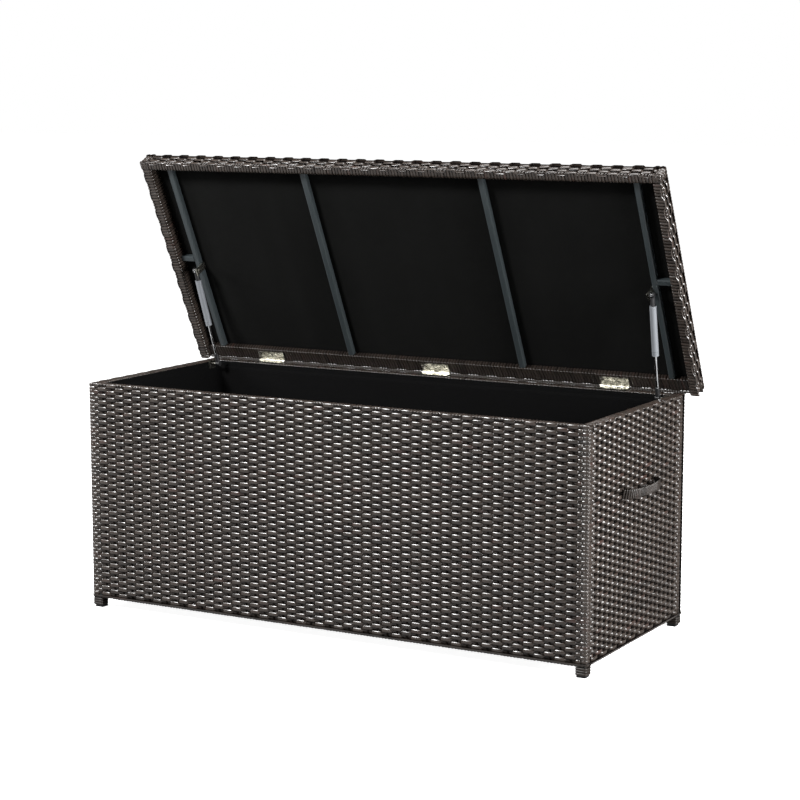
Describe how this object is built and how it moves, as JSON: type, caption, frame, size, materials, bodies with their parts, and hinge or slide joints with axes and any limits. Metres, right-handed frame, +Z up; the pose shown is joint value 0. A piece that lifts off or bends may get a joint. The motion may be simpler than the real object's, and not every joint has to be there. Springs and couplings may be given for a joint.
{
  "type": "deck storage box",
  "caption": "Long woven storage box on short feet, with a hinged cap lid held open by gas struts, a fabric lining and a bow handle at each end.",
  "frame": {"origin": "on the ground, at the middle of the space that the open box takes up", "axes": "+X along the length to the right, +Y from front to back, +Z up"},
  "size_m": [1.322, 0.536, 1.0296],
  "materials": {
    "rattan": "dark brown flat PE strands, woven, soft sheen",
    "black_fabric": "matt black woven polyester",
    "frame_paint": "dark grey powder coat, satin",
    "zinc": "bright zinc plate with a slight yellow tint",
    "silver_paint": "smooth silver-grey enamel",
    "chrome": "polished rod",
    "black_plastic": "moulded black plastic"
  },
  "bodies": {
    "box": {"top_rail_front": "rattan", "top_rail_back": "rattan", "top_rail_left": "rattan", "top_rail_right": "rattan", "bottom_rail_front": "rattan", "bottom_rail_back": "rattan", "bottom_rail_left": "rattan", "bottom_rail_right": "rattan", "woven_front": "rattan", "woven_back": "rattan", "woven_left": "rattan", "woven_right": "rattan", "floor_panel": "rattan", "handle_left": "rattan", "handle_right": "rattan", "corner_post_front_left": "frame_paint", "corner_post_front_right": "frame_paint", "corner_post_back_left": "frame_paint", "corner_post_back_right": "frame_paint", "floor_bar_left": "frame_paint", "floor_bar_right": "frame_paint", "liner_bag": "black_fabric", "hinge_body_leaf_left": "zinc", "hinge_body_leaf_middle": "zinc", "hinge_body_leaf_right": "zinc", "hinge_pin_left": "zinc", "hinge_pin_middle": "zinc", "hinge_pin_right": "zinc", "strut_box_bracket_left": "zinc", "strut_box_bracket_right": "zinc", "foot_plug_front_left": "black_plastic", "foot_plug_front_right": "black_plastic", "foot_plug_back_left": "black_plastic", "foot_plug_back_right": "black_plastic"},
    "lid": {"lid_front_rail": "rattan", "lid_back_rail": "rattan", "lid_left_rail": "rattan", "lid_right_rail": "rattan", "lid_woven_top": "rattan", "lid_crossbar_inner_left": "frame_paint", "lid_crossbar_inner_right": "frame_paint", "lid_crossbar_outer_left": "frame_paint", "lid_crossbar_outer_right": "frame_paint", "lid_stub_bar_left": "frame_paint", "lid_stub_bar_right": "frame_paint", "lid_liner": "black_fabric", "hinge_lid_leaf_left": "zinc", "hinge_lid_leaf_middle": "zinc", "hinge_lid_leaf_right": "zinc", "strut_lid_bracket_left": "zinc", "strut_lid_bracket_right": "zinc"},
    "left_strut": {"strut_cylinder_left": "silver_paint", "strut_upper_socket_left": "black_plastic"},
    "left_rod": {"strut_rod_left": "chrome", "strut_lower_socket_left": "black_plastic"},
    "right_strut": {"strut_cylinder_right": "silver_paint", "strut_upper_socket_right": "black_plastic"},
    "right_rod": {"strut_rod_right": "chrome", "strut_lower_socket_right": "black_plastic"}
  },
  "joints": [
    {"name": "lid_hinge", "type": "hinge", "parent": "box", "child": "lid", "pos_m": [0, 0.24178, 0.526], "axis": [-1, 0, 0], "range_deg": [-64.63, 0]},
    {"name": "left_strut_pivot", "type": "hinge", "parent": "lid", "child": "left_strut", "pos_m": [-0.5925, 0.11932, 0.74883], "axis": [-1, 0, 0], "range_deg": [-9.55, 0]},
    {"name": "left_rod_slide", "type": "slide", "parent": "left_strut", "child": "left_rod", "axis": [0.0532, 0.2967, -0.9535], "range_m": [-0.04008, 0]},
    {"name": "right_strut_pivot", "type": "hinge", "parent": "lid", "child": "right_strut", "pos_m": [0.5925, 0.11932, 0.74883], "axis": [-1, 0, 0], "range_deg": [-9.55, 0]},
    {"name": "right_rod_slide", "type": "slide", "parent": "right_strut", "child": "right_rod", "axis": [-0.0532, 0.2967, -0.9535], "range_m": [-0.04008, 0]}
  ],
  "couplings": [
    {"joint": "left_strut_pivot", "follows": "lid_hinge", "ratio": 0.14758},
    {"joint": "left_rod_slide", "follows": "lid_hinge", "m_per_rad": 0.035483},
    {"joint": "right_strut_pivot", "follows": "lid_hinge", "ratio": 0.14758},
    {"joint": "right_rod_slide", "follows": "lid_hinge", "m_per_rad": 0.035483}
  ]
}
